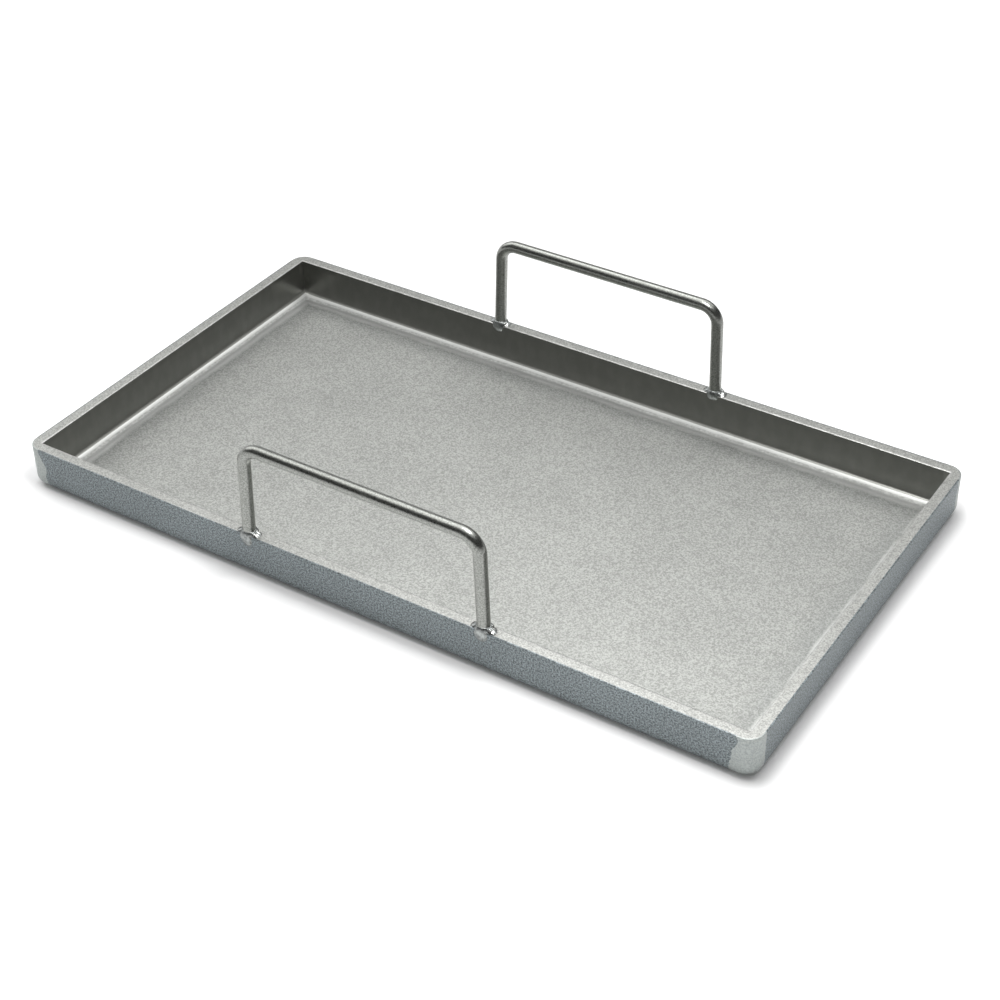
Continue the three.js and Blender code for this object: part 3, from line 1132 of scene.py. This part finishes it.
def set_world():
    """Soft patches of light overhead, behind and to the left, and a pale backdrop."""
    sky = Sky()
    patches = [
        sky.patch(direction(0, 90), 44, 20, 1.20),
        sky.patch(direction(10, 52), 28, 8, 1.47),
        sky.patch(direction(-33, 60), 26, 8, 0.65),
        sky.patch(direction(-75, 60), 28, 8, 1.40),
        sky.patch(direction(-80, 30), 30, 8, 2.40),
        sky.patch(direction(-33, 10), 24, 8, 0.40),
    ]
    light = sky.background(sky.total([*patches, 0.01]))
    pale = sky.background(1.0)
    path = sky.tree.nodes.new("ShaderNodeLightPath")
    choose = sky.tree.nodes.new("ShaderNodeMixShader")
    output = sky.tree.nodes.new("ShaderNodeOutputWorld")
    sky.tree.links.new(path.outputs["Is Camera Ray"], choose.inputs["Fac"])
    sky.tree.links.new(light, choose.inputs[1])
    sky.tree.links.new(pale, choose.inputs[2])
    sky.tree.links.new(choose.outputs["Shader"], output.inputs["Surface"])
    bpy.context.scene.world = sky.world


def add_camera():
    """A camera in front and to the right, looking down at the middle of the griddle."""
    a, e, r = VIEW_TURN, VIEW_HEIGHT, VIEW_ROLL
    back = Vector((math.sin(a) * math.cos(e), -math.cos(a) * math.cos(e), math.sin(e)))
    right = Vector((math.cos(a), math.sin(a), 0))
    up = back.cross(right)
    data = bpy.data.cameras.new("camera")
    data.lens = LENS
    data.sensor_width = SENSOR
    data.clip_start = 0.05
    data.clip_end = 60.0
    camera = bpy.data.objects.new("camera", data)
    bpy.context.scene.collection.objects.link(camera)
    rolled_right = right * math.cos(r) + up * math.sin(r)
    rolled_up = up * math.cos(r) - right * math.sin(r)
    place = back * VIEW_DISTANCE + right * VIEW_SLIDE[0] + up * VIEW_SLIDE[1]
    turn = Matrix((rolled_right, rolled_up, back)).transposed().to_4x4()
    camera.matrix_world = Matrix.Translation(place) @ turn
    bpy.context.scene.camera = camera


class GRIDDLE_OT_stage(bpy.types.Operator):
    """Makes the floor, the lights and the camera"""

    bl_idname = "griddle.stage"
    bl_label = "Studio"

    def execute(self, context):
        add_floor()
        add_softbox("front_softbox", place=(0.15, -0.1, 0.8), target=(0.1, -0.15, 0), size=0.3, power=4.90)
        add_softbox("back_softbox", place=(-0.35, 0.45, 1.0), target=(0.1, -0.1, 0), size=0.5, power=1.30)
        set_world()
        add_camera()
        context.scene.view_settings.view_transform = "Standard"
        return {"FINISHED"}


class GRIDDLE_PT_panel(bpy.types.Panel):
    """Lists the griddle's sizes, finishes and pieces"""

    bl_idname = "GRIDDLE_PT_panel"
    bl_label = "Flat Top Griddle"
    bl_space_type = "VIEW_3D"
    bl_region_type = "UI"
    bl_category = "Griddle"

    def draw(self, context):
        settings = context.scene.griddle
        for group in (settings.sizes, settings.finishes):
            box = self.layout.box()
            for key in group.__annotations__:
                box.prop(group, key)
        for operator in PIECES:
            self.layout.operator(operator.bl_idname)


PIECES = (
    GRIDDLE_OT_plate,
    GRIDDLE_OT_walls,
    GRIDDLE_OT_corner_welds,
    GRIDDLE_OT_seam_welds,
    GRIDDLE_OT_handles,
    GRIDDLE_OT_handle_welds,
    GRIDDLE_OT_stage,
)
CLASSES = (GriddleSizes, GriddleFinishes, GriddleSettings, *PIECES, GRIDDLE_PT_panel)


def register():
    for cls in CLASSES:
        bpy.utils.register_class(cls)
    bpy.types.Scene.griddle = PointerProperty(type=GriddleSettings)


def unregister():
    del bpy.types.Scene.griddle
    for cls in reversed(CLASSES):
        bpy.utils.unregister_class(cls)


def main():
    register()
    bpy.ops.griddle.plate()
    bpy.ops.griddle.walls()
    bpy.ops.griddle.corner_welds()
    bpy.ops.griddle.seam_welds()
    bpy.ops.griddle.handles()
    bpy.ops.griddle.handle_welds()
    bpy.ops.griddle.stage()


if __name__ == "__main__":
    main()
